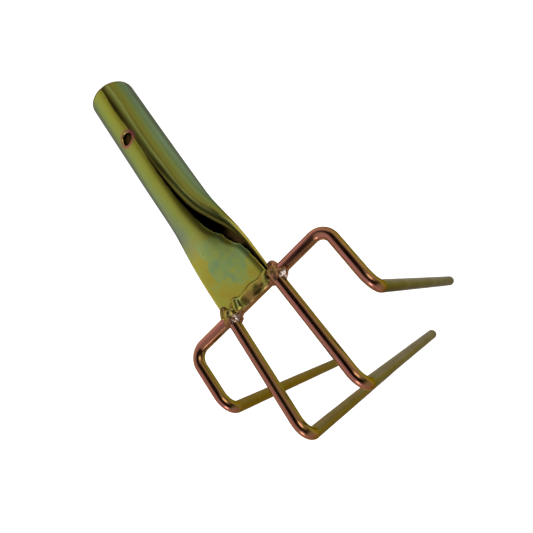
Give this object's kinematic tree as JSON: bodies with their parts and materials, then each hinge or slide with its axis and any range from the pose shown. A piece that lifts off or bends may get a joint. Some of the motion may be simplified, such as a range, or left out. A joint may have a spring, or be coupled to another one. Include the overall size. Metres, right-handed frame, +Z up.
{
  "type": "hand cultivator head",
  "caption": "Steel cultivator head with a tapered wrapped-sheet handle socket welded to a crossbar that carries long hooked round-bar tines for raking and breaking up soil.",
  "frame": {"origin": "on the floor, under the middle of the bounding box, with the tool lying at rest on its two outer tine tips and the back of the socket mouth", "axes": "+Y from the socket mouth towards the tine tips, +X across the tool towards its left-hand tine when seen from above with the socket nearest, +Z up"},
  "size_m": [0.1612, 0.3412, 0.2122],
  "materials": {
    "socket": "olive and teal passivated coating, satin",
    "outer_bar": "copper-brown passivated coating, glossy",
    "inner_tines": "copper-brown passivated coating, glossy",
    "weld": "rough weld metal under the same coating"
  },
  "bodies": {
    "root": {"socket": "socket", "outer_tine_bar": "outer_bar", "inner_tine_left": "inner_tines", "inner_tine_right": "inner_tines", "weld_front": "weld", "weld_back": "weld", "weld_tine_left": "weld", "weld_tine_right": "weld", "weld_corner_left": "weld", "weld_corner_right": "weld"}
  },
  "joints": []
}
